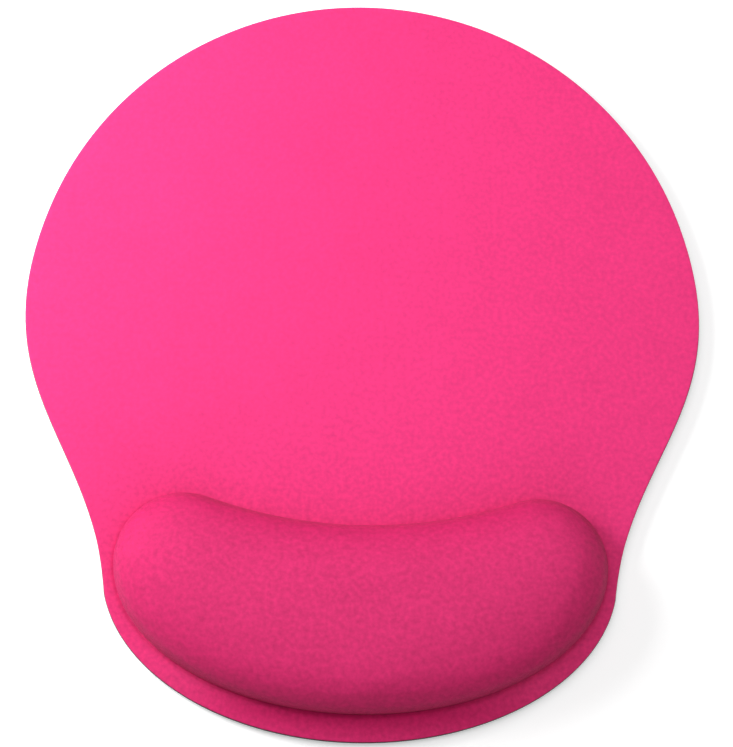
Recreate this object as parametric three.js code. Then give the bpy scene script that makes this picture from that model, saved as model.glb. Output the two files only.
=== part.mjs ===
// A mouse mat with a built-in wrist rest: a soft cushion bonded to a flat foam mat, with one
// stretched cloth over both and a thin grippy sheet underneath.
//
// Millimetres, +Z up. +Y runs from the wrist cushion at the front to the round mousing area at
// the back, +X to the right. The origin lies on the desk, under the middle of the mat.
import * as THREE from "three";

// ---- Driving dimensions: the mat seen from above ----
const MAT_LENGTH = 230; // front edge to back edge
const HEAD_RADIUS = 102.9; // round of the mousing area
const HEAD_ARC_END = THREE.MathUtils.degToRad(17.4); // where the round runs into a flank
const NECK_HALF_WIDTH = 75.6; // half of the narrow place between the mousing area and the lobe
const NECK_LEAN = THREE.MathUtils.degToRad(11.9); // slope of a flank where it meets the neck
const LOBE_LENGTH = 48.6; // neck to front edge
const FLANK_UPPER_HANDLE = 55.8; // pull of a flank's curve away from the head's round
const FLANK_LOWER_HANDLE = 41.2; // pull of a flank's curve up from the neck

// ---- Driving dimensions: the cushion seen from above, at its foot ----
const CUSHION_HALF_WIDTH = 72;
const CUSHION_END_Y = -64.3; // the widest line of the cushion
const CUSHION_FRONT_DEPTH = 42.7; // from the widest line to the front of the foot
const CUSHION_CORNER_RADIUS = 20; // round of each back corner
const CUSHION_HOLLOW_Y = -53; // middle of the hollow back edge

// ---- Driving dimensions: heights and layers ----
const BASE_THICKNESS = 0.8; // grippy sheet
const FILM_THICKNESS = 0.15; // each hot-melt bonding film
const FOAM_THICKNESS = 2.4; // flat foam of the mat
const CLOTH_THICKNESS = 0.5; // knitted cover
const TOTAL_HEIGHT = 20; // desk to the top of the covered cushion
const WALL_WIDTH = 14; // from the cushion's foot in to its flat top
const WALL_LEAN = 2; // how far the wall leans in, beside its round
const WALL_SQUARENESS = 2.3; // 2 is an elliptical round, more is squarer

// ---- Fineness of the faceted solids ----
const MAT_POINTS = 112; // round the mat's outline
const CUSHION_POINTS = 72; // round the cushion's foot
const WALL_RINGS = 6; // up the cushion's wall

// ---- Levels of the flat stack, from the desk up ----
const FILM_FLOOR = BASE_THICKNESS;
const FOAM_FLOOR = FILM_FLOOR + FILM_THICKNESS;
const FOAM_TOP = FOAM_FLOOR + FOAM_THICKNESS;
const SKIN_THICKNESS = FILM_THICKNESS + CLOTH_THICKNESS;
const CUSHION_RISE = TOTAL_HEIGHT - SKIN_THICKNESS - FOAM_TOP;

// ---- Outlines, counter-clockwise from above ----

/** The cut edge of the mat: a round head, two flanks, and a half-ellipse lobe at the front. */
function matPath() {
  const back = MAT_LENGTH / 2;
  const headY = back - HEAD_RADIUS;
  const neckY = LOBE_LENGTH - back;
  const arcX = HEAD_RADIUS * Math.cos(HEAD_ARC_END);
  const arcY = headY + HEAD_RADIUS * Math.sin(HEAD_ARC_END);
  const upperX = arcX + FLANK_UPPER_HANDLE * Math.sin(HEAD_ARC_END);
  const upperY = arcY - FLANK_UPPER_HANDLE * Math.cos(HEAD_ARC_END);
  const lowerX = NECK_HALF_WIDTH + FLANK_LOWER_HANDLE * Math.sin(NECK_LEAN);
  const lowerY = neckY + FLANK_LOWER_HANDLE * Math.cos(NECK_LEAN);

  const path = new THREE.Path();
  path.absarc(0, headY, HEAD_RADIUS, Math.PI / 2, Math.PI - HEAD_ARC_END, false);
  path.bezierCurveTo(-upperX, upperY, -lowerX, lowerY, -NECK_HALF_WIDTH, neckY);
  path.absellipse(0, neckY, NECK_HALF_WIDTH, LOBE_LENGTH, Math.PI, 2 * Math.PI, false, 0);
  path.bezierCurveTo(lowerX, lowerY, upperX, upperY, arcX, arcY);
  path.absarc(0, headY, HEAD_RADIUS, HEAD_ARC_END, Math.PI / 2, false);
  return path;
}

/** The foot of the cushion: a bean with a hollow back edge, round corners and an elliptical front. */
function cushionPath() {
  const cornerX = CUSHION_HALF_WIDTH - CUSHION_CORNER_RADIUS;
  const hollowStep = CUSHION_HOLLOW_Y - CUSHION_END_Y;
  // The hollow's circle touches both corner rounds and the middle of the back edge.
  const hollowRadius =
    (cornerX ** 2 + hollowStep ** 2 - CUSHION_CORNER_RADIUS ** 2) /
    (2 * (CUSHION_CORNER_RADIUS - hollowStep));
  const hollowY = CUSHION_HOLLOW_Y + hollowRadius;
  const touch = Math.atan2(hollowY - CUSHION_END_Y, -cornerX);

  const path = new THREE.Path();
  path.absarc(cornerX, CUSHION_END_Y, CUSHION_CORNER_RADIUS, 0, touch, false);
  path.absarc(0, hollowY, hollowRadius, touch - Math.PI, -touch, true);
  path.absarc(-cornerX, CUSHION_END_Y, CUSHION_CORNER_RADIUS, Math.PI - touch, Math.PI, false);
  path.absellipse(
    0, CUSHION_END_Y, CUSHION_HALF_WIDTH, CUSHION_FRONT_DEPTH, Math.PI, 2 * Math.PI, false, 0,
  );
  return path;
}

/** Evenly spaced points of a closed path, each with the direction that leads inwards from it. */
function sampleLoop(path, count) {
  return Array.from({ length: count }, (_, i) => {
    const tangent = path.getTangentAt(i / count);
    return {
      point: path.getPointAt(i / count),
      inward: new THREE.Vector2(-tangent.y, tangent.x),
    };
  });
}

// ---- Profile of the cushion's wall ----

/** The wall from its foot to the flat top, as points (inset from the foot, height above it). */
function wallProfile() {
  const profile = [new THREE.Vector2(0, 0)];
  const power = 2 / WALL_SQUARENESS;
  const filmShare = FILM_THICKNESS / CUSHION_RISE;
  profile.push(new THREE.Vector2(WALL_LEAN * filmShare, FILM_THICKNESS));
  for (let ring = 1; ring <= WALL_RINGS; ring += 1) {
    const angle = (ring / WALL_RINGS) * (Math.PI / 2);
    const share = Math.sin(angle) ** power;
    const round = 1 - Math.max(Math.cos(angle), 0) ** power;
    const inset = WALL_LEAN * share + (WALL_WIDTH - WALL_LEAN) * round;
    profile.push(new THREE.Vector2(inset, CUSHION_RISE * share));
  }
  return profile;
}

/** The profile moved out by a distance, with mitred corners and level ground at both ends. */
function offsetProfile(profile, distance) {
  const level = new THREE.Vector2(0, 1);
  const normalAfter = (i) => {
    if (i < 0 || i >= profile.length - 1) return level;
    const step = profile[i + 1].clone().sub(profile[i]).normalize();
    return new THREE.Vector2(-step.y, step.x);
  };
  return profile.map((point, i) => {
    const before = normalAfter(i - 1);
    const after = normalAfter(i);
    const mitre = before.clone().add(after).divideScalar(1 + before.dot(after));
    return point.clone().addScaledVector(mitre, distance);
  });
}

// ---- Open surfaces, facing up: points, triangles and the loop of points at the rim ----

/** Turns a flat outline at one level into a surface. */
function flatSurface(outline, z) {
  const triangles = THREE.ShapeUtils.triangulateShape(outline, []);
  return {
    points: outline.map((p) => new THREE.Vector3(p.x, p.y, z)),
    triangles,
    rim: outline.map((_, i) => i),
  };
}

/** The rings of points up the cushion's wall, from a profile measured from its foot. */
function wallRings(foot, profile) {
  return profile.map(({ x: inset, y: height }) =>
    foot.map(({ point, inward }) => {
      const plan = point.clone().addScaledVector(inward, inset);
      return new THREE.Vector3(plan.x, plan.y, FOAM_TOP + height);
    }),
  );
}

/** The wall and flat top of the cushion, starting at one of its rings. */
function domeSurface(rings) {
  const count = rings[0].length;
  const triangles = [];
  for (let ring = 0; ring < rings.length - 1; ring += 1) {
    for (let i = 0; i < count; i += 1) {
      const next = (i + 1) % count;
      const low = ring * count;
      const high = low + count;
      triangles.push([low + i, low + next, high + next], [low + i, high + next, high + i]);
    }
  }
  const top = rings.at(-1);
  const topStart = (rings.length - 1) * count;
  const plan = top.map((p) => new THREE.Vector2(p.x, p.y));
  for (const corner of THREE.ShapeUtils.triangulateShape(plan, [])) {
    triangles.push(corner.map((i) => topStart + i));
  }
  return { points: rings.flat(), triangles, rim: rings[0].map((_, i) => i) };
}

/** The whole upper face of the laminate at a distance above the foams: level ground and dome. */
function skinSurface(outline, foot, profile, distance) {
  const rings = wallRings(foot, offsetProfile(profile, distance));
  const dome = domeSurface(rings);
  const hole = rings[0].map((p) => new THREE.Vector2(p.x, p.y));
  const groundPoints = outline.map((p) => new THREE.Vector3(p.x, p.y, FOAM_TOP + distance));
  const ground = THREE.ShapeUtils.triangulateShape(outline, [hole]);
  const shift = outline.length;
  return {
    points: [...groundPoints, ...dome.points],
    // The hole's points follow the outline's, so they are the dome's first ring.
    triangles: [...ground, ...dome.triangles.map((corner) => corner.map((i) => i + shift))],
    rim: outline.map((_, i) => i),
  };
}

// ---- Solids ----

/** The closed solid between a lower and an upper surface whose rims have the same number of points. */
function solidBetween(lower, upper) {
  const shift = lower.points.length;
  const index = [];
  for (const [a, b, c] of lower.triangles) index.push(a, c, b);
  for (const [a, b, c] of upper.triangles) index.push(a + shift, b + shift, c + shift);
  lower.rim.forEach((low, i) => {
    const next = (i + 1) % lower.rim.length;
    const lowNext = lower.rim[next];
    const high = upper.rim[i] + shift;
    const highNext = upper.rim[next] + shift;
    index.push(low, lowNext, highNext, low, highNext, high);
  });
  const geometry = new THREE.BufferGeometry().setFromPoints([...lower.points, ...upper.points]);
  geometry.setIndex(index);
  geometry.computeVertexNormals();
  return geometry;
}

function piece(name, geometry, color, roughness) {
  const material = new THREE.MeshStandardMaterial({ color, roughness, metalness: 0 });
  const mesh = new THREE.Mesh(geometry, material);
  mesh.name = name;
  return mesh;
}

// ---- The wrist rest ----
const outline = sampleLoop(matPath(), MAT_POINTS).map(({ point }) => point);
const foot = sampleLoop(cushionPath(), CUSHION_POINTS);
const profile = wallProfile();
const coreRings = wallRings(foot, profile);
const filmTop = coreRings[1].map((p) => new THREE.Vector2(p.x, p.y));
const footPlan = coreRings[0].map((p) => new THREE.Vector2(p.x, p.y));

const desk = flatSurface(outline, 0);
const filmFloor = flatSurface(outline, FILM_FLOOR);
const foamFloor = flatSurface(outline, FOAM_FLOOR);
const foamTop = flatSurface(outline, FOAM_TOP);
const cushionFloor = flatSurface(filmTop, FOAM_TOP + FILM_THICKNESS);
const foams = skinSurface(outline, foot, profile, 0);
const clothBack = skinSurface(outline, foot, profile, FILM_THICKNESS);
const clothFace = skinSurface(outline, foot, profile, SKIN_THICKNESS);

const wristRest = new THREE.Group();
wristRest.name = "wrist_rest";
wristRest.add(
  piece("nonslip_base", solidBetween(desk, filmFloor), 0x26262a, 0.8),
  piece("base_bond_film", solidBetween(filmFloor, foamFloor), 0xe6e2d6, 0.4),
  piece("mat_foam", solidBetween(foamFloor, foamTop), 0x34343a, 0.9),
  piece(
    "cushion_bond_film",
    solidBetween(flatSurface(footPlan, FOAM_TOP), cushionFloor),
    0xe6e2d6,
    0.4,
  ),
  piece("wrist_cushion", solidBetween(cushionFloor, domeSurface(coreRings.slice(1))), 0xf1ead8, 0.95),
  piece("cover_bond_film", solidBetween(foams, clothBack), 0xe6e2d6, 0.4),
  piece("cover_cloth", solidBetween(clothBack, clothFace), 0xe93c7d, 0.85),
);

export default wristRest;
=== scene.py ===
"""The looks of a mouse mat with a built-in wrist cushion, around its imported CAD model.

The mat is a bonded laminate. From the desk up it holds a grippy sheet with a ribbed underside, a
bonding film, a flat foam sheet, a film under the cushion, the moulded foam cushion, and a second
film on the back of one stretched knit cover, which is pressed into a crease round the cushion.

Everything is in metres, in the frame of the CAD model: +Y from the cushion at the front to the
round mousing area at the back, +X to the right, +Z up, the origin on the desk.
"""

import logging
import math
from dataclasses import dataclass, field
from enum import Enum
from typing import Callable, Sequence

import bmesh
import bpy
from mathutils import Euler, Matrix, Vector, noise
from mathutils.kdtree import KDTree


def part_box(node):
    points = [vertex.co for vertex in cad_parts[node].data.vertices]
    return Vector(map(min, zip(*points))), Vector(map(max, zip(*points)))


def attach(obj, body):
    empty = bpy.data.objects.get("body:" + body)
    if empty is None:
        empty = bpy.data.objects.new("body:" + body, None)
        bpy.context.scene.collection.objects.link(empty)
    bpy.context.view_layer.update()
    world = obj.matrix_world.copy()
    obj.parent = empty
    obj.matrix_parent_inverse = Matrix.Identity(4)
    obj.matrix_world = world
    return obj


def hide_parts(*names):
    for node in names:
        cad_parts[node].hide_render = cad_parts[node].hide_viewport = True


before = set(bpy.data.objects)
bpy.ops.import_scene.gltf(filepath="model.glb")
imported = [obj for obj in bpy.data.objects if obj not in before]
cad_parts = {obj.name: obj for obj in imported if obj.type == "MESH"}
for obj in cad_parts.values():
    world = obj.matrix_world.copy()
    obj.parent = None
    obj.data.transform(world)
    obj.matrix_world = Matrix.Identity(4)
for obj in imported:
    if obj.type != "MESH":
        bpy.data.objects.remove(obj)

log = logging.getLogger("wrist_rest")
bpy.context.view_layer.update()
MM = 0.001
HAIR = 0.02 * MM
BODY = "root"
QUARTER = math.pi / 2
SAME_LEVEL = 1e-7
Piece = bpy.types.Object
Node = bpy.types.Node
Ring = list[Vector]
Profile = Sequence[tuple[float, float]]
Colour = tuple[float, float, float]


class Hold(Enum):
    """How a sheet of cloth is held."""

    STRETCHED = "stretched"


# ----- The bench: what every piece is made with -----


@dataclass
class EditMode:
    """Edit mode on one piece, entered with nothing selected and left again at the end."""

    piece: Piece

    def __enter__(self) -> "EditMode":
        """Makes the piece the only selected object and opens it for editing."""
        take_up(self.piece)
        bpy.ops.object.mode_set(mode="EDIT")
        bpy.ops.mesh.select_mode(type="VERT")
        bpy.ops.mesh.select_all(action="DESELECT")
        return self

    def __exit__(self, *problem: object) -> None:
        """Closes the piece again."""
        bpy.ops.object.mode_set(mode="OBJECT")

    def pick(self, test: Callable[[bmesh.types.BMVert], bool]) -> None:
        """Selects the points that pass a test, and nothing else.

        Args:
            test: says whether a point is wanted.
        """
        shape = bmesh.from_edit_mesh(self.piece.data)
        for element in (*shape.verts, *shape.edges, *shape.faces):
            element.select = False
        for vertex in shape.verts:
            if test(vertex):
                vertex.select_set(True)
        shape.select_flush_mode()
        bmesh.update_edit_mesh(self.piece.data)

    def extrude_along(self, rings: list[Ring]) -> None:
        """Extrudes the piece's one open rim, or its lone ring of edges, through further rings.

        Args:
            rings: where the rim's points are, and then the rings that grow from it.
        """
        self.pick_rim()
        for old, new in zip(rings, rings[1:]):
            bpy.ops.mesh.extrude_edges_move()
            places = {place_key(point): target for point, target in zip(old, new)}
            shape = bmesh.from_edit_mesh(self.piece.data)
            for vertex in shape.verts:
                if vertex.select:
                    vertex.co = places[place_key(vertex.co)]
            bmesh.update_edit_mesh(self.piece.data)

    def pick_all(self) -> None:
        """Selects the whole piece."""
        bpy.ops.mesh.select_all(action="SELECT")

    def pick_rim(self) -> None:
        """Selects the points of every open rim and of every edge without faces."""
        self.pick(lambda v: v.is_boundary or v.is_wire)

    def close_rim(self, level: float | None = None) -> None:
        """Closes an open rim with one face.

        Args:
            level: the rim's level, or None where the piece has one rim only.
        """
        self.pick(lambda v: v.is_boundary and (level is None or abs(v.co.z - level) < SAME_LEVEL))
        bpy.ops.mesh.edge_face_add()


def place_key(point: Vector) -> tuple[int, ...]:
    """Returns a point's place in whole tenths of a micrometre, to look it up by."""
    return tuple(round(value * 1e7) for value in point)


def take_up(piece: Piece) -> None:
    """Deselects everything, then selects one piece and makes it active."""
    bpy.ops.object.select_all(action="DESELECT")
    piece.hide_set(False)
    piece.select_set(True)
    bpy.context.view_layer.objects.active = piece


def copy_piece(piece: Piece, name: str) -> Piece:
    """Copies a piece with a mesh of its own.

    Args:
        piece: the object to copy.
        name: the copy's name.

    Returns:
        The copy.
    """
    take_up(piece)
    bpy.ops.object.duplicate(linked=False)
    copy = bpy.context.object
    copy.name = copy.data.name = name
    return copy


def join_pieces(pieces: list[Piece]) -> Piece:
    """Joins pieces into the first of them, and returns it."""
    take_up(pieces[0])
    for piece in pieces:
        piece.select_set(True)
    bpy.ops.object.join()
    return pieces[0]


def drop_piece(piece: Piece) -> None:
    """Deletes a piece that was only a step on the way to others."""
    take_up(piece)
    bpy.ops.object.delete()


def apply_modifier(piece: Piece, kind: str, **settings: object) -> None:
    """Adds a modifier with the given settings and applies it.

    Args:
        piece: the object to work on.
        kind: the modifier's type, such as SOLIDIFY.
        **settings: the modifier's properties.
    """
    take_up(piece)
    bpy.ops.object.modifier_add(type=kind)
    modifier = piece.modifiers[-1]
    for key, value in settings.items():
        setattr(modifier, key, value)
    bpy.ops.object.modifier_apply(modifier=modifier.name)


def smooth_piece(piece: Piece, angle_degrees: float = 40.0) -> None:
    """Shades a piece smooth, apart from the edges that are sharper than an angle."""
    take_up(piece)
    bpy.ops.object.shade_smooth_by_angle(angle=math.radians(angle_degrees))


def loft(name: str, rings: list[Ring]) -> Piece:
    """Lofts an open wall through rings of points, each extruded from the one before it.

    Args:
        name: the piece's name.
        rings: rings with the same number of points.

    Returns:
        The new object.
    """
    bpy.ops.mesh.primitive_circle_add(vertices=len(rings[0]), radius=1.0, fill_type="NOTHING")
    piece = bpy.context.object
    piece.name = piece.data.name = name
    for vertex, point in zip(piece.data.vertices, rings[0]):
        vertex.co = point
    with EditMode(piece) as edit:
        edit.extrude_along(rings)
    return piece


def face_outwards(piece: Piece) -> None:
    """Turns every face outwards, which is up on a piece that is open below."""
    with EditMode(piece) as edit:
        edit.pick_all()
        bpy.ops.mesh.normals_make_consistent(inside=False)


def slab(name: str, rings: list[Ring]) -> Piece:
    """Lofts a closed layer, with one face across its first ring and one across its last.

    Args:
        name: the layer's name.
        rings: rings with the same number of points.

    Returns:
        The new object.
    """
    piece = loft(name, rings)
    with EditMode(piece) as edit:
        for ring in (rings[0], rings[-1]):
            edit.close_rim(ring[0].z)
    face_outwards(piece)
    smooth_piece(piece, 35.0)
    return piece


def dress(piece: Piece, finish: "KnitCloth | CellFoam | CloudySheet") -> Piece:
    """Gives a piece its finish, and returns the piece."""
    piece.data.materials.append(finish.material())
    return piece


# ----- Outlines, seen from above -----


def flat(x: float, y: float) -> Vector:
    """Returns a point at level zero."""
    return Vector((x, y, 0.0))


def arc(centre: Vector, radii: Vector, start: float, end: float, steps: int = 160) -> Ring:
    """Points along an arc of an ellipse.

    Args:
        centre: the middle of the ellipse.
        radii: its half widths along X and Y.
        start: the angle of the first point, in radians.
        end: the angle of the last point, in radians.
        steps: how many stretches the arc has.

    Returns:
        The points in order.
    """
    angles = [start + (end - start) * step / steps for step in range(steps + 1)]
    return [
        flat(centre.x + radii.x * math.cos(a), centre.y + radii.y * math.sin(a))
        for a in angles
    ]


def bezier(a: Vector, b: Vector, c: Vector, d: Vector, steps: int = 160) -> Ring:
    """Points along a cubic curve from a to d that is pulled towards b and c.

    Args:
        a: the first point.
        b: the first handle.
        c: the second handle.
        d: the last point.
        steps: how many stretches the curve has.

    Returns:
        The points in order.
    """
    shares = [step / steps for step in range(steps + 1)]
    return [
        a * (1 - t) ** 3 + b * 3 * t * (1 - t) ** 2 + c * 3 * t * t * (1 - t) + d * t**3
        for t in shares
    ]


def even_points(path: Ring, count: int) -> Ring:
    """Spaces points evenly along a path.

    Args:
        path: the path's own points.
        count: how many stretches the spaced points make.

    Returns:
        The spaced points, with both ends among them.
    """
    lengths = [0.0]
    for here, there in zip(path, path[1:]):
        lengths.append(lengths[-1] + (there - here).length)
    found, at = [], 0
    for step in range(count + 1):
        wanted = lengths[-1] * step / count
        while at < len(lengths) - 2 and lengths[at + 1] < wanted:
            at += 1
        share = (wanted - lengths[at]) / max(lengths[at + 1] - lengths[at], 1e-12)
        found.append(path[at].lerp(path[at + 1], min(share, 1.0)))
    return found


def mirrored_ring(front: Ring, back: Ring, count: int) -> Ring:
    """Mirrors half an outline, whose front and back parts get half the points each.

    Args:
        front: the path from the front middle to the right side.
        back: the path from there to the back middle.
        count: how many points the ring gets, a multiple of four.

    Returns:
        The ring, counter-clockwise from the front middle.
    """
    right = even_points(front, count // 4) + even_points(back, count // 4)[1:]
    return right + [flat(-p.x, p.y) for p in right[-2:0:-1]]


def inward_of(ring: Ring) -> Ring:
    """The level directions that lead into a counter-clockwise ring, one for each point."""
    directions = []
    for index in range(len(ring)):
        along = ring[(index + 1) % len(ring)] - ring[index - 1]
        directions.append(flat(-along.y, along.x).normalized())
    return directions


def ring_tree(ring: Ring) -> KDTree:
    """Returns a tree that finds the points of a ring nearest to a place."""
    tree = KDTree(len(ring))
    for index, point in enumerate(ring):
        tree.insert(point, index)
    tree.balance()
    return tree


class Outline:
    """An outline seen from above, the same on both sides of the mat's middle line."""

    def path(self, count: int) -> Ring:
        """Points round the outline at level zero, counter-clockwise from the front middle.

        Args:
            count: how many points, a multiple of four.

        Returns:
            The points.
        """
        raise NotImplementedError

    def ring(self, count: int, z: float = 0.0, inset: float = 0.0) -> Ring:
        """Points round the outline at one level, counter-clockwise from the front middle.

        Args:
            count: how many points, a multiple of four.
            z: their level.
            inset: how far inside the outline they lie.

        Returns:
            The ring.
        """
        path = self.path(count)
        return [
            Vector((p.x + n.x * inset, p.y + n.y * inset, z))
            for p, n in zip(path, inward_of(path))
        ]


@dataclass(frozen=True)
class MatOutline(Outline):
    """The cut edge of the mat: a round head, two flanks and a half-ellipse lobe in front."""

    length: float = 230.0 * MM
    head_radius: float = 102.9 * MM
    head_arc_end: float = math.radians(17.4)
    neck_half_width: float = 75.6 * MM
    neck_lean: float = math.radians(11.9)
    lobe_length: float = 48.6 * MM
    upper_handle: float = 55.8 * MM
    lower_handle: float = 41.2 * MM
    neck_round: float = 7.0 * MM

    def path(self, count: int) -> Ring:
        """Points round the mat, from arcs and curves joined end to end."""
        head = flat(0.0, self.length / 2 - self.head_radius)
        neck = flat(self.neck_half_width, self.lobe_length - self.length / 2)
        lobe = arc(flat(0.0, neck.y), flat(neck.x, self.lobe_length), -QUARTER, 0.0)
        lean = flat(math.sin(self.neck_lean), math.cos(self.neck_lean))
        turn = flat(math.cos(self.head_arc_end), math.sin(self.head_arc_end))
        shoulder = head + turn * self.head_radius
        down = flat(turn.y, -turn.x)
        flank = bezier(
            neck, neck + lean * self.lower_handle, shoulder + down * self.upper_handle, shoulder
        )
        round_head = flat(self.head_radius, self.head_radius)
        top = arc(head, round_head, self.head_arc_end, QUARTER)
        lobe = [point for point in lobe if (point - neck).length > self.neck_round]
        flank = [point for point in flank if (point - neck).length > self.neck_round]
        pull = 2 / 3
        bend = bezier(
            lobe[-1], lobe[-1].lerp(neck, pull), flank[0].lerp(neck, pull), flank[0], steps=24
        )
        half = len(bend) // 2
        front = lobe + bend[1 : half + 1]
        return mirrored_ring(front, bend[half:] + flank[1:] + top[1:], count)


@dataclass(frozen=True)
class CushionFoot(Outline):
    """The cushion's foot: a bean with a hollow back edge, round corners, an elliptical front."""

    half_width: float = 72.0 * MM
    end_y: float = -64.3 * MM
    front_depth: float = 42.7 * MM
    corner_radius: float = 20.0 * MM
    hollow_y: float = -53.0 * MM

    def path(self, count: int) -> Ring:
        """Points round the foot, whose hollow's circle touches both corner rounds."""
        corner = flat(self.half_width - self.corner_radius, self.end_y)
        step = self.hollow_y - self.end_y
        hollow_radius = (corner.x**2 + step**2 - self.corner_radius**2) / (
            2 * (self.corner_radius - step)
        )
        hollow = flat(0.0, self.hollow_y + hollow_radius)
        touch = math.atan2(hollow.y - corner.y, -corner.x)
        oval = flat(self.half_width, self.front_depth)
        front = arc(flat(0.0, self.end_y), oval, -QUARTER, 0.0)
        side = arc(corner, flat(self.corner_radius, self.corner_radius), 0.0, touch)
        back = arc(hollow, flat(hollow_radius, hollow_radius), touch - math.pi, -QUARTER)
        return mirrored_ring(front, side + back[1:], count)


# ----- Finishes -----


class NodeBench:
    """A material with a Principled shader, and short ways to add and wire its nodes."""

    def __init__(self, name: str) -> None:
        """Makes an empty material with a shader and an output.

        Args:
            name: the material's name.
        """
        self.material = bpy.data.materials.new(name)
        self.material.use_nodes = True
        self.tree = self.material.node_tree
        self.tree.nodes.clear()
        output = self.add("ShaderNodeOutputMaterial")
        self.shader = self.add("ShaderNodeBsdfPrincipled")
        self.wire(self.shader, "BSDF", output, "Surface")

    def add(self, kind: str, **settings: object) -> Node:
        """Adds a node.

        Args:
            kind: the node's type.
            **settings: the node's properties.

        Returns:
            The node.
        """
        node = self.tree.nodes.new(kind)
        for key, value in settings.items():
            setattr(node, key, value)
        return node

    def wire(self, source: Node, out: str | int, target: Node, into: str | int) -> None:
        """Links one node's output to another's input."""
        self.tree.links.new(source.outputs[out], target.inputs[into])

    def set(self, **values: object) -> None:
        """Sets the shader's own sockets. Underscores in a name stand for spaces."""
        for key, value in values.items():
            self.shader.inputs[key.replace("_", " ")].default_value = value

    def math(self, operation: str, *operands: object, clamp: bool = False) -> Node:
        """Adds a math node.

        Args:
            operation: what it works out.
            *operands: numbers, or nodes whose first output is read.
            clamp: whether the result is kept between 0 and 1.

        Returns:
            The node.
        """
        node = self.add("ShaderNodeMath", operation=operation, use_clamp=clamp)
        for index, operand in enumerate(operands):
            if isinstance(operand, (int, float)):
                node.inputs[index].default_value = operand
            else:
                self.tree.links.new(operand.outputs[0], node.inputs[index])
        return node

    def noise(self, size: float, detail: float = 2.0, source: Node | None = None) -> Node:
        """Adds a noise of a given grain.

        Args:
            size: how wide one blotch is, in metres.
            detail: how many finer octaves it has.
            source: what gives its coordinates, or None for the object's own.

        Returns:
            The node.
        """
        node = self.add("ShaderNodeTexNoise")
        node.inputs["Scale"].default_value = 1.0 / size
        node.inputs["Detail"].default_value = detail
        if source is None:
            place = self.add("ShaderNodeTexCoord")
            self.wire(place, "Object", node, "Vector")
        else:
            self.wire(source, 0, node, "Vector")
        return node

    def blend(self, share: Node, low: Colour, high: Colour) -> Node:
        """Adds a colour ramp between two colours, driven by a node's factor or first output."""
        ramp = self.add("ShaderNodeValToRGB")
        ramp.color_ramp.elements[0].color = (*low, 1.0)
        ramp.color_ramp.elements[1].color = (*high, 1.0)
        source = share.outputs.get("Fac") or share.outputs[0]
        self.tree.links.new(source, ramp.inputs["Fac"])
        return ramp

    def bump(self, height: Node, depth: float, strength: float) -> None:
        """Adds a bump of a given depth in metres and wires it to the shader's normal."""
        node = self.add("ShaderNodeBump")
        node.inputs["Strength"].default_value = strength
        node.inputs["Distance"].default_value = depth
        self.tree.links.new(height.outputs[0], node.inputs["Height"])
        self.wire(node, "Normal", self.shader, "Normal")


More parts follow.
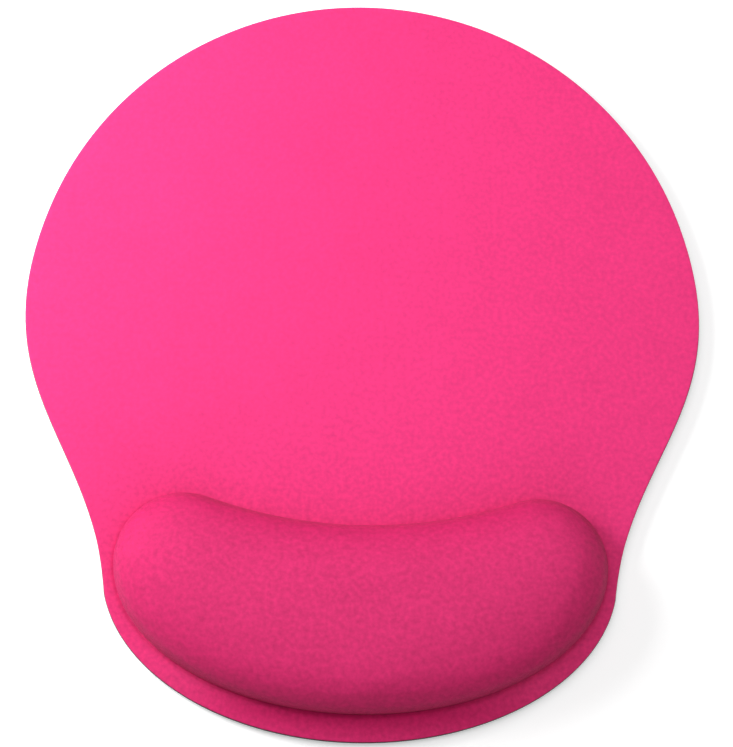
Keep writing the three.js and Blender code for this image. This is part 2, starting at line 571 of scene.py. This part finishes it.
@dataclass(frozen=True)
class KnitCloth:
    """Fine matt stretch knit: rows of small V stitches, slightly uneven in dye and height.

    Over the cushion it is deeper and coarser, partly as stretched knit that loses its bloom and
    partly as painted shade. Deeper still is painted shade in the crease, on the lip and in a band
    round the foot.
    """

    relaxed: Colour = (0.80, 0.0365, 0.195)
    # Painted shade: the second colour is partly the stretched knit's own tone and partly painted
    # shade on the cushion, and the third is painted shade for the crease and the lip.
    stretched: Colour = (0.62, 0.0275, 0.144)
    crease_shade: Colour = (0.47, 0.0060, 0.091)
    stretched_and_shaded_at: float = 0.75
    wale: float = 0.42 * MM
    course: float = 0.30 * MM
    stitch_depth: float = 0.09 * MM
    # Painted shade between the stitches: how much darker the gaps are than the yarn.
    stitch_gap_shade: float = 0.16
    waver_size: float = 3.0 * MM
    waver: float = 1.4
    fleck: float = 1.4 * MM
    calm: float = 0.34
    coarse: float = 0.62
    cloud: float = 14.0 * MM
    cloud_swing: float = 0.10
    map_name: str = "knit"
    # This mask holds the stretch mixed with painted shade round the cushion.
    stretch_and_shade_name: str = "stretch"

    def material(self) -> bpy.types.Material:
        """Returns the cloth's material, whose stitches follow the sheet's own map."""
        bench = NodeBench("pink_knit")
        height = self.stitch_height(bench, *self.stitch_axes(bench))
        stretch_and_shade = bench.add("ShaderNodeAttribute", attribute_name=self.stretch_and_shade_name)
        grain = bench.noise(self.fleck)

        # The ramp paints shade into the colour, driven by the mask of stretch and painted shade.
        dye_and_shade = bench.blend(stretch_and_shade, self.relaxed, self.crease_shade)
        middle = dye_and_shade.color_ramp.elements.new(self.stretched_and_shaded_at)
        middle.color = (*self.stretched, 1.0)
        colour = bench.add("ShaderNodeVectorMath", operation="SCALE")
        bench.wire(dye_and_shade, 0, colour, 0)
        bench.wire(self.tone(bench, height, stretch_and_shade, grain), 0, colour, "Scale")
        bench.wire(colour, 0, bench.shader, "Base Color")

        lift = bench.math("MULTIPLY_ADD", grain, 0.5, height)
        bench.bump(lift, self.stitch_depth, strength=0.7)
        bench.set(
            Roughness=0.85,
            Specular_IOR_Level=0.18,
            Sheen_Weight=0.05,
            Sheen_Roughness=0.45,
            Sheen_Tint=(1.0, 0.55, 0.72, 1.0),
        )
        return bench.material

    def tone(self, bench: NodeBench, height: Node, stretch_and_shade: Node, grain: Node) -> Node:
        """Works out how light the colour is, which is near 1: a random mottle times painted shade
        between the stitches.

        Args:
            bench: the material's bench.
            height: the node that gives the height of the stitches.
            stretch_and_shade: the node that gives how far the knit is stretched, mixed with
                painted shade.
            grain: the node that gives the knit's fine grain.

        Returns:
            The node that gives the tone.
        """
        swing = bench.add("ShaderNodeMapRange")
        bench.wire(stretch_and_shade, "Fac", swing, "Value")
        swing.inputs["To Min"].default_value = self.calm
        swing.inputs["To Max"].default_value = self.coarse
        mottle = bench.math("MULTIPLY", bench.math("SUBTRACT", grain, 0.5), swing)
        cloud = bench.noise(self.cloud)
        drift = bench.math("MULTIPLY", bench.math("SUBTRACT", cloud, 0.5), self.cloud_swing)
        # Painted shade: the colour follows the stitch height, darker in the gaps and lighter on
        # the yarn.
        darkest_gap = 1.0 - self.stitch_gap_shade / 2
        gap_shade = bench.math("MULTIPLY_ADD", height, self.stitch_gap_shade, darkest_gap)
        level = bench.math("MULTIPLY", bench.math("ADD", mottle, drift), gap_shade)
        return bench.math("ADD", gap_shade, level)

    def stitch_axes(self, bench: NodeBench) -> tuple[Node, Node]:
        """Counts stitches across and along the cloth, in rows that waver a little.

        Args:
            bench: the material's bench.

        Returns:
            The nodes that count wales across and courses along.
        """
        lay = bench.add("ShaderNodeUVMap", uv_map=self.map_name)
        wobble = bench.noise(self.waver_size, source=lay)
        drift = bench.math("MULTIPLY_ADD", wobble, self.waver, -self.waver / 2)
        split = bench.add("ShaderNodeSeparateXYZ")
        bench.wire(lay, 0, split, 0)
        counts = []
        for axis, size in (("X", self.wale), ("Y", self.course)):
            step = bench.add("ShaderNodeMath", operation="MULTIPLY")
            bench.wire(split, axis, step, 0)
            step.inputs[1].default_value = 1.0 / size
            counts.append(bench.math("ADD", step, drift))
        return counts[0], counts[1]

    def stitch_height(self, bench: NodeBench, across: Node, along: Node) -> Node:
        """Works out the height of the V stitches, from 0 in the gaps to 1 on the yarn.

        Args:
            bench: the material's bench.
            across: the count of wales.
            along: the count of courses.

        Returns:
            The node that gives the height.
        """
        half = bench.math("PINGPONG", across, 0.5)
        leg = bench.math("SINE", bench.math("MULTIPLY", half, 2 * math.pi))
        slant = bench.math("MULTIPLY_ADD", half, 1.5, along)
        rung = bench.math("ABSOLUTE", bench.math("SINE", bench.math("MULTIPLY", slant, math.pi)))
        yarn = bench.math("MULTIPLY_ADD", rung, 0.65, 0.35)
        return bench.math("MULTIPLY", bench.math("POWER", leg, 0.6), yarn)


@dataclass(frozen=True)
class CellFoam:
    """Foam with cells of one size, seen as fine pits and a speckled tone, with painted shade at
    the low cell edges.
    """

    name: str
    colour: Colour
    cell: float
    pit_depth: float
    roughness: float = 0.9

    def material(self) -> bpy.types.Material:
        """Returns the foam's material."""
        bench = NodeBench(self.name)
        place = bench.add("ShaderNodeTexCoord")
        cells = bench.add("ShaderNodeTexVoronoi", feature="DISTANCE_TO_EDGE")
        cells.inputs["Scale"].default_value = 1.0 / self.cell
        bench.wire(place, "Object", cells, "Vector")
        cloud = bench.noise(self.cell * 9, 3.0)
        # Painted shade: the cell edges, low in the bump, are painted darker.
        cell_edge_shade = bench.math("MULTIPLY_ADD", cells, 1.6, 0.35, clamp=True)
        level = bench.math("ADD", cell_edge_shade, bench.math("MULTIPLY", cloud, 0.5), clamp=True)
        low = tuple(value * 0.62 for value in self.colour)
        high = tuple(min(value * 1.12, 1.0) for value in self.colour)
        bench.wire(bench.blend(level, low, high), 0, bench.shader, "Base Color")
        bench.bump(cells, self.pit_depth, 0.8)
        bench.set(Roughness=self.roughness)
        return bench.material


@dataclass(frozen=True)
class CloudySheet:
    """A plain sheet with a slightly cloudy tone and a fine grain."""

    name: str
    dark: Colour
    pale: Colour
    cloud: float
    cloud_detail: float
    grain: float
    grain_depth: float
    grain_strength: float
    roughness: float

    def material(self) -> bpy.types.Material:
        """Returns the sheet's material."""
        bench = NodeBench(self.name)
        cloud = bench.noise(self.cloud, self.cloud_detail)
        bench.wire(bench.blend(cloud, self.dark, self.pale), 0, bench.shader, "Base Color")
        bench.bump(bench.noise(self.grain), self.grain_depth, self.grain_strength)
        bench.set(Roughness=self.roughness)
        return bench.material


MILKY_FILM = CloudySheet(
    name="milky_film",
    dark=(0.624, 0.600, 0.536),
    pale=(0.78, 0.75, 0.67),
    cloud=6.0 * MM,
    cloud_detail=3.0,
    grain=1.2 * MM,
    grain_depth=0.02 * MM,
    grain_strength=0.6,
    roughness=0.38,
)
GRIP_RUBBER = CloudySheet(
    name="grip_rubber",
    dark=(0.020, 0.020, 0.023),
    pale=(0.038, 0.038, 0.0437),
    cloud=9.0 * MM,
    cloud_detail=4.0,
    grain=0.35 * MM,
    grain_depth=0.04 * MM,
    grain_strength=0.7,
    roughness=0.68,
)


# ----- The layers' levels -----


@dataclass(frozen=True)
class Stack:
    """The levels of the laminate, from the CAD model's nodes."""

    film_floor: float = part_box("base_bond_film")[0].z
    foam_floor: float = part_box("mat_foam")[0].z
    foam_top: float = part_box("mat_foam")[1].z
    cushion_floor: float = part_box("wrist_cushion")[0].z
    cushion_top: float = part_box("cover_cloth")[1].z
    film: float = 0.15 * MM
    cloth: float = 0.50 * MM
    edge_draw_back: float = 0.28 * MM

    @property
    def skin(self) -> float:
        """Returns the thickness of the cloth and its film together."""
        return self.film + self.cloth

    @property
    def mat_top(self) -> float:
        """Returns the level of the cloth's face on the flat of the mat."""
        return self.foam_top + self.skin


# ----- The cushion and the cover -----


@dataclass
class CoveredCushion:
    """The raised form of the covered cushion, whose face both the core and the cover follow."""

    stack: Stack
    foot: CushionFoot = field(default_factory=CushionFoot)
    points: int = 192
    rings: int = 12
    crowding: float = 2.4
    front_reach: float = 14.0 * MM
    back_reach: float = 30.0 * MM
    wall_share: float = 0.52
    fullness: float = 2.9
    forward_fall: float = 0.07
    neighbours: int = 24
    top_share: float = 0.7
    relaxing: int = 6
    ironing: int = 16
    ironed_above: tuple[float, ...] = (0.3, 0.6, 0.8, 0.9)
    pressure: float = 3.0
    most_swell: float = 1.2 * MM
    frames: int = 20
    unevenness: float = 0.10 * MM
    uneven_size: float = 21.0 * MM

    @property
    def rise(self) -> float:
        """Returns the height of the covered cushion above the cloth on the flat."""
        return self.stack.cushion_top - self.stack.mat_top

    def reach(self, into: Vector) -> float:
        """Returns how far in from the foot the surface climbs, less at the front."""
        front = (1.0 + into.y) / 2
        return self.back_reach + (self.front_reach - self.back_reach) * front

    def level(self, plan: Vector, inset: float, reach: float) -> float:
        """Works out the level of one place of the form.

        Args:
            plan: the place, seen from above.
            inset: how far in from the foot it lies.
            reach: how far in from the foot the surface climbs there.

        Returns:
            Its level.
        """
        share = min(inset / reach, 1.0)
        full = (1.0 - (1.0 - share) ** self.fullness) ** (1.0 / self.fullness)
        fall = self.forward_fall * (self.foot.hollow_y - plan.y) / self.foot.front_depth
        return self.stack.mat_top + self.rise * full * (1.0 - fall)

    def wall_rings(self) -> list[Ring]:
        """Works out the rings of the wall, from the foot up to the edge of the top.

        Returns:
            The rings, close together where the wall is steep.
        """
        foot = self.foot.ring(self.points)
        inward = inward_of(foot)
        rings = []
        for step in range(self.rings + 1):
            climb = (step / self.rings) ** self.crowding
            ring = []
            for point, into in zip(foot, inward):
                reach = self.reach(into)
                inset = reach * self.wall_share * climb
                plan = point + into * inset
                ring.append(Vector((plan.x, plan.y, self.level(plan, inset, reach))))
            rings.append(ring)
        return rings

    def build(self) -> Piece:
        """Models the form and swells it.

        Returns:
            The form, open below, with the sheet's own coordinates in its "lay" attribute.
        """
        rings = self.wall_rings()
        form = loft("cushion_form", rings)
        wall = {place_key(vertex.co): vertex.index for vertex in form.data.vertices}
        columns = [[wall[place_key(point)] for point in column] for column in zip(*rings)]
        rim = {place_key(point) for point in rings[-1]}
        with EditMode(form) as edit:
            edit.pick(lambda v: place_key(v.co) in rim)
            bpy.ops.mesh.fill_grid(span=self.points // 4)
        with EditMode(form) as edit:
            edit.pick(lambda v: place_key(v.co) not in wall)
            bpy.ops.mesh.vertices_smooth(factor=0.5, repeat=self.relaxing)
        self.shape_top(form, set(wall))
        with EditMode(form) as edit:
            edit.pick(lambda v: v.co.z > self.stack.mat_top + self.rise * self.top_share)
            bpy.ops.mesh.vertices_smooth(factor=0.5, repeat=self.relaxing)
        face_outwards(form)
        self.swell(form)
        self.fit_height(form)
        self.store_lay(form, columns)
        return form

    def shape_top(self, form: Piece, wall: set[tuple[int, ...]]) -> None:
        """Brings the points of the top to the level that the wall leads up to.

        Args:
            form: the form, with its top filled.
            wall: the places of the points of the wall, which stay as they are.
        """
        foot = self.foot.ring(self.points * 4)
        inward = inward_of(foot)
        tree = ring_tree(foot)
        for vertex in form.data.vertices:
            if place_key(vertex.co) in wall:
                continue
            plan = flat(vertex.co.x, vertex.co.y)
            near = tree.find_n(plan, self.neighbours)
            weights = [1.0 / (away * away) for _, _, away in near]
            reach = sum(
                self.reach(inward[index]) * weight for (_, index, _), weight in zip(near, weights)
            ) / sum(weights)
            vertex.co.z = self.level(plan, near[0][2], reach)

    def store_lay(self, form: Piece, columns: list[list[int]]) -> None:
        """Stores where each point lies on the unstretched sheet, walking out from the top.

        Args:
            form: the finished form.
            columns: its wall's vertex numbers, from the foot up.
        """
        places = [vertex.co.copy() for vertex in form.data.vertices]
        lay = [flat(place.x, place.y) for place in places]
        for column in columns:
            foot, top = lay[column[0]].copy(), lay[column[-1]].copy()
            outward = (foot - top).normalized()
            walked = 0.0
            for above, here in zip(column[::-1], column[-2::-1]):
                walked += (places[above] - places[here]).length
                lay[here] = top + outward * walked
        attribute = form.data.attributes.new("lay", "FLOAT_VECTOR", "POINT")
        for place, value in zip(lay, attribute.data):
            value.vector = place

    def swell(self, form: Piece) -> None:
        """Swells the form with cloth simulation, its foot held, and keeps the result.

        Args:
            form: the open form.
        """
        floor = self.stack.mat_top + HAIR
        held = form.vertex_groups.new(name="held")
        held.add([v.index for v in form.data.vertices if v.co.z < floor], 1.0, "REPLACE")
        cloth = form.modifiers.new("Swell", "CLOTH")
        settings = cloth.settings
        settings.quality = 7
        settings.mass = 0.2
        settings.tension_stiffness = 12.0
        settings.compression_stiffness = 12.0
        settings.shear_stiffness = 5.0
        settings.bending_stiffness = 0.4
        settings.use_pressure = True
        settings.uniform_pressure_force = self.pressure
        settings.effector_weights.gravity = 0.0
        settings.vertex_group_mass = held.name
        scene = bpy.context.scene
        for number in range(1, self.frames + 1):
            scene.frame_set(number)
        swollen = form.evaluated_get(bpy.context.evaluated_depsgraph_get())
        pairs = zip(swollen.data.vertices, form.data.vertices)
        moves = [there.co - here.co for there, here in pairs]
        form.modifiers.remove(cloth)
        log.info("swell: largest free move %.2f mm", max(m.length for m in moves) / MM)
        for vertex, move in zip(form.data.vertices, moves):
            if move.length > self.most_swell:
                move = move.normalized() * self.most_swell
            vertex.co = vertex.co + move
        form.vertex_groups.clear()
        form.data.update()
        scene.frame_set(1)
        with EditMode(form) as edit:
            for share in self.ironed_above:
                level = self.stack.mat_top + self.rise * share
                edit.pick(lambda v: v.co.z > level)
                bpy.ops.mesh.vertices_smooth(factor=0.5, repeat=self.ironing)

    def fit_height(self, form: Piece) -> None:
        """Makes the top a little uneven and scales the form's height to the model's."""
        base = self.stack.mat_top
        for vertex in form.data.vertices:
            lift = min((vertex.co.z - base) / self.rise, 1.0)
            wave = noise.noise(vertex.co / self.uneven_size)
            vertex.co.z += self.unevenness * lift * wave
        share = self.rise / (max(v.co.z for v in form.data.vertices) - base)
        for vertex in form.data.vertices:
            vertex.co.z = base + (vertex.co.z - base) * share


@dataclass
class WristCushion:
    """The moulded foam core inside the cover."""

    stack: Stack
    finish: CellFoam = CellFoam("cushion_foam", (0.87, 0.82, 0.68), 0.5 * MM, 0.12 * MM)
    floor_slack: float = 0.05 * MM

    def build(self, form: Piece) -> Piece:
        """Models the core as the covered form less the thickness of its skin.

        Args:
            form: the covered cushion's form.

        Returns:
            The finished core.
        """
        core = copy_piece(form, "cushion_core")
        with EditMode(core) as edit:
            edit.pick_all()
            bpy.ops.transform.shrink_fatten(value=-self.stack.skin)
            edit.pick_rim()
            bpy.ops.mesh.extrude_edges_move()
            drop = self.stack.cushion_floor - self.stack.mat_top
            bpy.ops.transform.translate(value=(0.0, 0.0, drop))
        apply_modifier(core, "SUBSURF", levels=1, render_levels=1)
        with EditMode(core) as edit:
            edit.close_rim()
            floor = self.stack.cushion_floor
            for vertex in bmesh.from_edit_mesh(core.data).verts:
                if vertex.co.z < floor + self.floor_slack:
                    vertex.co.z = floor
        face_outwards(core)
        smooth_piece(core, 50.0)
        return dress(core, self.finish)


@dataclass
class Cover:
    """The knit cover and the bonding film on its back, as one laid skin split in two."""

    stack: Stack
    outline: MatOutline = field(default_factory=MatOutline)
    foot: CushionFoot = field(default_factory=CushionFoot)
    points: int = 192
    groove_depth: float = 0.55 * MM
    groove_width: float = 1.5 * MM
    groove_evenness: float = 0.60
    groove: Profile = (
        (0.06, -0.60), (0.14, -1.00), (0.30, -0.93), (0.50, -0.50),
        (0.78, -0.16), (1.10, -0.02), (1.30, 0.0),
    )
    spread: tuple[float, ...] = (0.07, 0.18, 0.34, 0.55, 0.78, 1.0)
    level_border: float = 1.0 * MM
    rolled_edge: Profile = ((0.35, 0.012), (0.10, 0.06), (0.0, 0.16))
    # Painted shade on the knit: a band round the cushion's foot fading with distance, a darker lip
    # in front of it and a darker crease.
    full_stretch_and_shade_rise: float = 1.0 * MM
    shade_round_foot: float = 0.60
    shade_round_foot_reach: float = 17.0 * MM
    crease_shade_reach: float = 7.5 * MM
    lip_shade: float = 0.76
    knit: KnitCloth = KnitCloth()

    def ground_rings(self) -> list[Ring]:
        """Works out the rings from the cushion's foot out to the cut edge.

        The groove's profile is in shares of its width and depth, and it is deepest in front of
        the cushion. The rolled edge's profile is in mm.

        Returns:
            The crease's groove, the level ground and the rolled edge, from the inside out.
        """
        top = self.stack.mat_top
        inward = inward_of(self.foot.ring(self.points))
        rings = [self.foot.ring(self.points, top)]
        for out, drop in self.groove:
            ring = self.foot.ring(self.points, top, -out * self.groove_width)
            for point, into in zip(ring, inward):
                share = self.groove_evenness + (1.0 - self.groove_evenness) * into.y
                point.z += drop * self.groove_depth * share
            rings.append(ring)
        edge = self.stack.edge_draw_back
        last = rings[-1]
        inner = self.outline.ring(self.points, top, edge + self.level_border)
        for share in self.spread:
            rings.append([a.lerp(b, share) for a, b in zip(last, inner)])
        for inset, drop in self.rolled_edge:
            rings.append(self.outline.ring(self.points, top - drop * MM, edge + inset * MM))
        return rings

    def lay_skin(self, form: Piece) -> Piece:
        """Lays the face of the skin over the covered form and out to the cut edge.

        Args:
            form: the covered cushion's form.

        Returns:
            The open face of the skin, facing up.
        """
        skin = copy_piece(form, "skin_face")
        with EditMode(skin) as edit:
            edit.extrude_along(self.ground_rings())
        face_outwards(skin)
        apply_modifier(skin, "SUBSURF", levels=1, render_levels=1)
        return skin

    def thicken(self, skin: Piece, name: str, depth: float, thickness: float) -> Piece:
        """Makes one closed layer of the skin.

        Args:
            skin: the open face of the skin.
            name: the layer's name.
            depth: how far the layer's face lies under the skin's face.
            thickness: the layer's thickness.

        Returns:
            The layer.
        """
        layer = copy_piece(skin, name)
        if depth:
            with EditMode(layer) as edit:
                edit.pick_all()
                bpy.ops.transform.shrink_fatten(value=-depth)
        apply_modifier(layer, "SOLIDIFY", thickness=thickness, offset=-1.0)
        smooth_piece(layer, 50.0)
        return layer

    def build(self, form: Piece) -> tuple[Piece, Piece]:
        """Models the cloth and its film over the covered form.

        Args:
            form: the covered cushion's form.

        Returns:
            The cloth and the film.
        """
        skin = self.lay_skin(form)
        cloth = self.thicken(skin, "cover_cloth_sheet", 0.0, self.stack.cloth)
        film = self.thicken(skin, "cover_film", self.stack.cloth, self.stack.film)
        drop_piece(skin)
        self.map_sheet(cloth)
        return dress(cloth, self.knit), dress(film, MILKY_FILM)

    def map_sheet(self, cloth: Piece) -> None:
        """Writes the sheet's own coordinates, in metres, and how far each place is stretched,
        mixed with painted shade.

        Args:
            cloth: the finished cover.
        """
        mesh = cloth.data
        tree = ring_tree(self.foot.ring(self.points))
        stretch_and_shade = mesh.attributes.new(self.knit.stretch_and_shade_name, "FLOAT", "POINT")
        for vertex, value in zip(mesh.vertices, stretch_and_shade.data):
            away = tree.find((vertex.co.x, vertex.co.y, 0.0))[2]
            value.value = self.stretch_and_shade_at(vertex.co, away)
        # The cushion's wall carries its own lay, and the level ground lies where it was cut.
        ground = self.stack.mat_top + HAIR
        lay = mesh.attributes["lay"].data
        places = [
            value.vector.copy() if vertex.co.z > ground else vertex.co.copy()
            for vertex, value in zip(mesh.vertices, lay)
        ]
        chart = mesh.uv_layers.new(name=self.knit.map_name)
        for loop, corner in zip(mesh.loops, chart.data):
            corner.uv = places[loop.vertex_index].xy
        mesh.uv_layers.active = chart

    def stretch_and_shade_at(self, place: Vector, away: float) -> float:
        """Says how far the knit is stretched at one place, mixed with painted shade round the
        cushion.

        Args:
            place: the place on the cover.
            away: how far it is from the cushion's foot, seen from above.

        Returns:
            The stretch on the cushion, which is partly painted shade; less, as painted shade, on
            the lip in front of it;
            painted shade fading to 0 behind it; and up to 1 with the painted shade in the crease.
        """
        full = self.knit.stretched_and_shaded_at
        climbed = min(max(place.z - self.stack.mat_top, 0.0) / self.full_stretch_and_shade_rise, 1.0)
        front = (self.foot.end_y - place.y) / self.foot.front_depth
        # Painted shade: the lip in front of the cushion and a band round its foot are darkened.
        lip = self.lip_shade * min(max(front, 0.0), 1.0)
        level = max(self.shade_round_foot * math.exp(-away / self.shade_round_foot_reach), lip)
        stretch = level + (full - level) * climbed
        # Painted shade in the crease, fading with distance from the foot.
        crease_shade = (1.0 - full) * stretch / full * math.exp(-away / self.crease_shade_reach)
        return min(stretch + crease_shade, 1.0)


# ----- The flat layers -----


@dataclass
class MatBody:
    """The foam sheet of the mat, its two films and the grippy base.

    The foam's shoulder is in pairs of depth and inset, in mm, and its dent in pairs of distance
    out from the cushion's foot and depth.
    """

    stack: Stack
    outline: MatOutline = field(default_factory=MatOutline)
    foot: CushionFoot = field(default_factory=CushionFoot)
    points: int = 384
    foam: CellFoam = CellFoam("mat_foam", (0.045, 0.045, 0.052), 0.22 * MM, 0.05 * MM)
    foam_shoulder: Profile = ((0.45, 0.06), (0.22, 0.10), (0.16, 0.30), (0.01, 1.7))
    foam_dent: Profile = (
        (2.7, 0.01), (1.9, 0.05), (1.3, 0.25), (0.8, 0.60),
        (0.2, 0.64), (-0.7, 0.60), (-1.4, 0.02),
    )
    base_film_inset: float = 0.12 * MM
    cushion_film_inset: float = 1.6 * MM
    rib_pitch: float = 3.2 * MM
    rib_height: float = 0.35 * MM
    rib_width: float = 1.7 * MM
    rib_root: float = 0.08 * MM
    rib_step: float = 0.9 * MM
    rib_end: float = 1.0 * MM
    crest_share: float = 0.62
    wave_length: float = 13.0 * MM
    wave_height: float = 1.1 * MM
    rib_border: float = 4.0 * MM

    def side_rings(self, levels: Profile) -> list[Ring]:
        """Returns rings up the mat's cut edge, from pairs of level and inset."""
        return [self.outline.ring(self.points, z, inset) for z, inset in levels]

    def build_foam(self) -> Piece:
        """Returns the foam sheet, dented under the crease round the cushion."""
        low, top = self.stack.foam_floor, self.stack.foam_top
        levels = [(low, 0.0), (low + 0.5 * MM, 0.04 * MM)]
        levels += [(top - drop * MM, inset * MM) for drop, inset in self.foam_shoulder]
        dent = [
            self.foot.ring(self.points, top - drop * MM, -out * MM)
            for out, drop in self.foam_dent
        ]
        return dress(slab("mat_foam_sheet", self.side_rings(levels) + dent), self.foam)

    def build_base_film(self) -> Piece:
        """Returns the film between the foam and the base."""
        levels = (self.stack.film_floor, self.stack.foam_floor)
        rings = self.side_rings([(z, self.base_film_inset) for z in levels])
        return dress(slab("base_film", rings), MILKY_FILM)

    def build_cushion_film(self) -> Piece:
        """Returns the film under the cushion."""
        levels = (self.stack.foam_top, self.stack.cushion_floor)
        rings = [self.foot.ring(self.points, z, self.cushion_film_inset) for z in levels]
        return dress(slab("cushion_film", rings), MILKY_FILM)

    def half_width_at(self, y: float, ring: Ring) -> float:
        """Returns half the width of a ring at one place along the mat, or zero outside it."""
        crossings = []
        for here, there in zip(ring, ring[1:] + ring[:1]):
            if (here.y - y) * (there.y - y) < 0.0:
                share = (y - here.y) / (there.y - here.y)
                crossings.append(abs(here.x + (there.x - here.x) * share))
        return min(crossings) if crossings else 0.0

    def build_rib(self, y: float, reach: float) -> Piece:
        """Models one wavy rib with sloped sides and sloped ends.

        Args:
            y: where the rib's middle line lies along the mat.
            reach: how far it reaches to each side.

        Returns:
            The rib, open where its foot sinks into the sheet.
        """
        foot_z = self.rib_height + self.rib_root / 2
        steps = max(8, int(2 * reach / self.rib_step))
        bpy.ops.mesh.primitive_grid_add(x_subdivisions=steps, y_subdivisions=3, size=1.0)
        rib = bpy.context.object
        for vertex in rib.data.vertices:
            x = vertex.co.x * 2 * reach
            side = round(vertex.co.y * 6) / 3
            end = max(0.0, abs(x) - (reach - self.rib_end)) / self.rib_end
            crest = abs(side) < 0.5 and end < 0.5
            half = self.rib_width / 2 * (1.0 if abs(side) > 0.5 else self.crest_share)
            wave = self.wave_height * math.sin(2 * math.pi * x / self.wave_length)
            vertex.co = Vector((x, y + wave + math.copysign(half, side), 0.0 if crest else foot_z))
        return rib

    def build_base(self) -> Piece:
        """Returns the grippy sheet with its wavy ribs."""
        floor = self.rib_height
        lower = ((floor, 0.25 * MM), (floor + 0.06 * MM, 0.08 * MM))
        base = slab("grip_base", self.side_rings((*lower, (self.stack.film_floor, 0.0))))
        border = self.outline.ring(self.points, 0.0, self.rib_border)
        low = min(point.y for point in border) + self.rib_pitch
        high = max(point.y for point in border) - self.rib_pitch / 2
        ribs = []
        for row in range(int((high - low) / self.rib_pitch) + 1):
            y = low + row * self.rib_pitch
            reach = self.half_width_at(y, border)
            if reach > self.rib_border:
                ribs.append(self.build_rib(y, reach))
        ribbing = join_pieces(ribs)
        with EditMode(ribbing) as edit:
            edit.pick_rim()
            bpy.ops.mesh.extrude_edges_move()
            bpy.ops.transform.translate(value=(0.0, 0.0, self.rib_root))
            edit.pick_all()
            bpy.ops.mesh.fill_holes(sides=0)
        face_outwards(ribbing)
        join_pieces([base, ribbing])
        return dress(base, GRIP_RUBBER)


# ----- The studio -----


@dataclass
class Studio:
    """A plain pale floor, soft light and the camera above the mat."""

    target: Vector = field(default_factory=lambda: Vector((0.7 * MM, -6.6 * MM, 4.0 * MM)))
    distance: float = 452.75 * MM
    elevation: float = 75.85
    azimuth: float = -8.1
    roll: float = 9.1
    lens: float = 72.29
    floor_size: float = 6.0

    def set_up(self, name: str, data: bpy.types.ID, place: Vector, aim: Matrix) -> Piece:
        """Puts a camera or a light in the scene.

        Args:
            name: its name.
            data: the camera's or the light's own data.
            place: where it stands.
            aim: its turn, from looking straight down.

        Returns:
            The new object.
        """
        thing = bpy.data.objects.new(name, data)
        bpy.context.scene.collection.objects.link(thing)
        thing.matrix_world = Matrix.Translation(place) @ aim.to_4x4()
        return thing

    def place_camera(self) -> None:
        """Makes the scene's camera and points it at the middle of the mat."""
        data = bpy.data.cameras.new("camera")
        data.lens = self.lens
        data.sensor_width = 36.0
        data.clip_start = 0.01
        tilt, turn = math.radians(90.0 - self.elevation), math.radians(self.azimuth)
        aim = Euler((tilt, 0.0, turn), "XYZ").to_matrix() @ Matrix.Rotation(
            math.radians(self.roll), 3, "Z"
        )
        place = self.target + aim @ Vector((0.0, 0.0, self.distance))
        camera = self.set_up("camera", data, place, aim)
        bpy.context.scene.camera = camera

    def lay_floor(self) -> None:
        """Lays the floor under the mat, a hair below the crests of its ribs."""
        bpy.ops.mesh.primitive_plane_add(size=self.floor_size, location=(0.0, 0.0, -HAIR))
        floor = bpy.context.object
        floor.name = "floor"
        bench = NodeBench("pale_floor")
        bench.set(Base_Color=(0.93, 0.93, 0.93, 1.0), Roughness=0.6)
        bench.set(Emission_Color=(1.0, 1.0, 1.0, 1.0), Emission_Strength=0.17)
        floor.data.materials.append(bench.material)

    def add_softbox(self, name: str, place: Vector, size: float, power: float) -> None:
        """Adds a square soft light that faces the middle of the mat.

        Args:
            name: the light's name.
            place: where it stands.
            size: its side.
            power: its power in watts.
        """
        data = bpy.data.lights.new(name, "AREA")
        data.shape = "SQUARE"
        data.size = size
        data.energy = power
        aim = (place - self.target).to_track_quat("Z", "Y")
        self.set_up(name, data, place, aim.to_matrix()).visible_camera = False

    def light(self) -> None:
        """Sets the soft lights and the pale room."""
        self.add_softbox("overhead_softbox", Vector((0.0, 0.1, 2.5)), 1.5, 34.0)
        self.add_softbox("near_softbox", Vector((-0.12, 0.13, 0.46)), 0.24, 0.5)
        self.add_softbox("left_softbox", Vector((-0.38, 0.15, 0.22)), 0.24, 2.75)
        world = bpy.data.worlds.new("pale_room")
        world.use_nodes = True
        sky = world.node_tree.nodes["Background"]
        sky.inputs["Color"].default_value = (1.0, 1.0, 1.0, 1.0)
        sky.inputs["Strength"].default_value = 0.16
        bpy.context.scene.world = world
        bpy.context.scene.view_settings.view_transform = "Standard"


# ----- Putting it together -----


def settle(piece: Piece, node: str) -> None:
    """Puts a finished piece on the mat's body, in the place of its CAD node.

    Args:
        piece: the finished piece.
        node: the CAD node that it stands for.
    """
    if piece.data.attributes.get("lay"):
        piece.data.attributes.remove(piece.data.attributes["lay"])
    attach(piece, BODY)
    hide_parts(node)
    log.info("%s: %d faces, in the place of %s", piece.name, len(piece.data.polygons), node)


def main() -> None:
    """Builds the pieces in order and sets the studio."""
    logging.basicConfig(level=logging.INFO, format="%(name)s: %(message)s")
    studio = Studio()
    studio.place_camera()
    stack = Stack()

    form = CoveredCushion(stack).build()
    cushion = WristCushion(stack).build(form)
    cloth, film = Cover(stack).build(form)
    drop_piece(form)
    body = MatBody(stack)
    foam = body.build_foam()
    cushion_film = body.build_cushion_film()
    base_film = body.build_base_film()
    base = body.build_base()

    settle(cloth, "cover_cloth")
    settle(film, "cover_bond_film")
    settle(cushion, "wrist_cushion")
    settle(cushion_film, "cushion_bond_film")
    settle(foam, "mat_foam")
    settle(base_film, "base_bond_film")
    settle(base, "nonslip_base")

    studio.lay_floor()
    studio.light()


if __name__ == "__main__":
    main()
